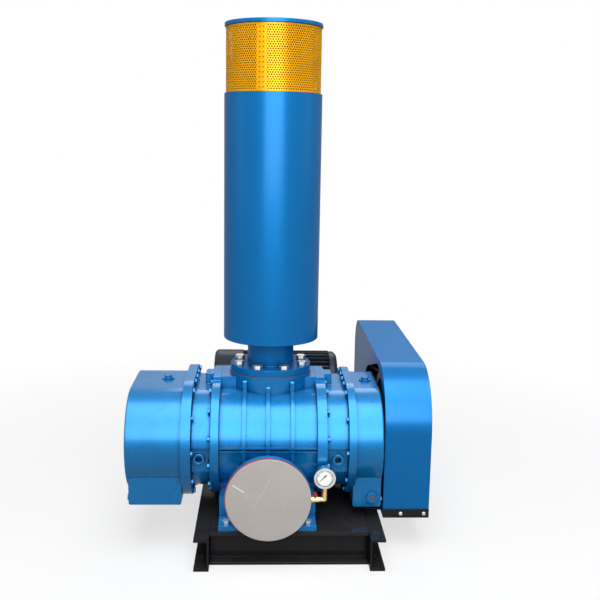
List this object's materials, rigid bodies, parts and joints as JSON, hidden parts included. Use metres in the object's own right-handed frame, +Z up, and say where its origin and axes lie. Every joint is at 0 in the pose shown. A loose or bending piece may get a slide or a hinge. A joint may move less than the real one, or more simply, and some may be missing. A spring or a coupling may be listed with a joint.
{
  "type": "roots vacuum pump",
  "caption": "Belt-driven Roots vacuum pump: ribbed twin-rotor casing, inlet silencer, flanged outlet with gauge, guarded belts and rear motor on a channel base.",
  "frame": {"origin": "centre of the anchor-hole pattern, on the floor plane under the base", "axes": "+X along the rotor shafts towards the belt guard, +Y away from the outlet towards the motor, +Z up"},
  "size_m": [1.042, 1.3, 1.778],
  "materials": {
    "blue_cast_paint": "gloss enamel on cast iron",
    "blue_sheet_paint": "gloss enamel on sheet steel",
    "black_frame_paint": "satin black enamel on channel steel",
    "yellow_screen_paint": "gloss enamel on perforated sheet",
    "motor_grey_paint": "satin grey enamel on cast iron",
    "zinc_fastener": "zinc plated",
    "machined_steel": "ground and turned",
    "rotor_iron": "machined",
    "pulley_iron": "primed dark red-brown",
    "bearing_steel": "ground",
    "belt_rubber": "fabric-covered",
    "red_gasket": "matt",
    "black_seal": "matt",
    "cover_sheet": "smooth matt board",
    "gauge_steel": "polished",
    "dial_white": "matt white",
    "needle_black": "matt",
    "clear_glass": "clear",
    "oil_glass": "clear over dark oil",
    "brass_fitting": "turned",
    "red_lever": "gloss",
    "filter_paper": "pleated",
    "lining_wool": "mineral wool",
    "fan_plastic": "moulded"
  },
  "bodies": {
    "root": {"base_side_channels": "black_frame_paint", "base_cross_channels": "black_frame_paint", "base_deck_plate": "black_frame_paint", "motor_slide_rails": "black_frame_paint", "guard_foot_strip": "black_frame_paint", "guard_brackets": "black_frame_paint", "pump_casing": "blue_cast_paint", "gear_side_plate": "blue_cast_paint", "drive_side_plate": "blue_cast_paint", "gear_cover": "blue_cast_paint", "drive_cover": "blue_cast_paint", "discharge_chest": "blue_cast_paint", "outlet_spool": "blue_cast_paint", "silencer_neck": "blue_sheet_paint", "silencer_shell": "blue_sheet_paint", "silencer_cap": "blue_sheet_paint", "belt_guard": "blue_sheet_paint", "guard_back_panel": "blue_sheet_paint", "filter_screen": "yellow_screen_paint", "filter_element": "filter_paper", "silencer_lining": "lining_wool", "silencer_core_tube": "machined_steel", "outlet_gasket": "red_gasket", "joint_gaskets": "black_seal", "end_plate_bolts": "blue_cast_paint", "cover_bolts": "blue_cast_paint", "inlet_flange_bolts": "zinc_fastener", "foot_bolts": "zinc_fastener", "guard_bolts": "zinc_fastener", "oil_plugs": "blue_cast_paint", "oil_sight_ring": "blue_cast_paint", "oil_sight_lens": "oil_glass", "rotor_bearings": "bearing_steel", "rotor_labyrinth_seals": "machined_steel", "drive_shaft_seal": "black_seal", "v_belts": "belt_rubber", "motor_frame": "motor_grey_paint", "motor_end_shields": "motor_grey_paint", "motor_fan_cowl": "motor_grey_paint", "motor_terminal_box": "motor_grey_paint", "motor_stator": "machined_steel", "motor_bearings": "bearing_steel", "gauge_case": "gauge_steel", "gauge_dial": "dial_white", "gauge_lens": "clear_glass", "gauge_pipe_fittings": "brass_fitting", "cock_body": "brass_fitting"},
    "drive_rotor_set": {"drive_rotor": "rotor_iron", "drive_timing_gear": "machined_steel", "drive_gear_nut": "machined_steel", "pump_pulley": "pulley_iron"},
    "driven_rotor_set": {"driven_rotor": "rotor_iron", "driven_timing_gear": "machined_steel", "driven_gear_nut": "machined_steel"},
    "motor_rotor_set": {"motor_rotor_shaft": "machined_steel", "motor_pulley": "pulley_iron", "motor_fan": "fan_plastic"},
    "gauge_needle": {"gauge_needle": "needle_black"},
    "cock_lever": {"cock_lever": "red_lever"},
    "outlet_cover": {"outlet_cover_disc": "cover_sheet"}
  },
  "joints": [
    {"name": "drive_rotor_spin", "type": "hinge", "parent": "root", "child": "drive_rotor_set", "pos_m": [0, -0.136, 0.358], "axis": [1, 0, 0], "continuous": true},
    {"name": "driven_rotor_spin", "type": "hinge", "parent": "root", "child": "driven_rotor_set", "pos_m": [0, -0.336, 0.358], "axis": [1, 0, 0], "continuous": true},
    {"name": "motor_spin", "type": "hinge", "parent": "root", "child": "motor_rotor_set", "pos_m": [0, 0.392, 0.325], "axis": [1, 0, 0], "continuous": true},
    {"name": "gauge_needle_swing", "type": "hinge", "parent": "root", "child": "gauge_needle", "pos_m": [0.115, -0.56, 0.291], "axis": [0, 1, 0], "range_deg": [0, 270]},
    {"name": "cock_lever_turn", "type": "hinge", "parent": "root", "child": "cock_lever", "pos_m": [0.084, -0.56, 0.23], "axis": [0, 0, -1], "range_deg": [0, 90]},
    {"name": "outlet_cover_lift", "type": "slide", "parent": "root", "child": "outlet_cover", "axis": [0, -1, 0], "range_m": [0, 0.15]}
  ],
  "couplings": [
    {"joint": "driven_rotor_spin", "follows": "drive_rotor_spin", "ratio": -1},
    {"joint": "motor_spin", "follows": "drive_rotor_spin", "ratio": 1.6}
  ]
}
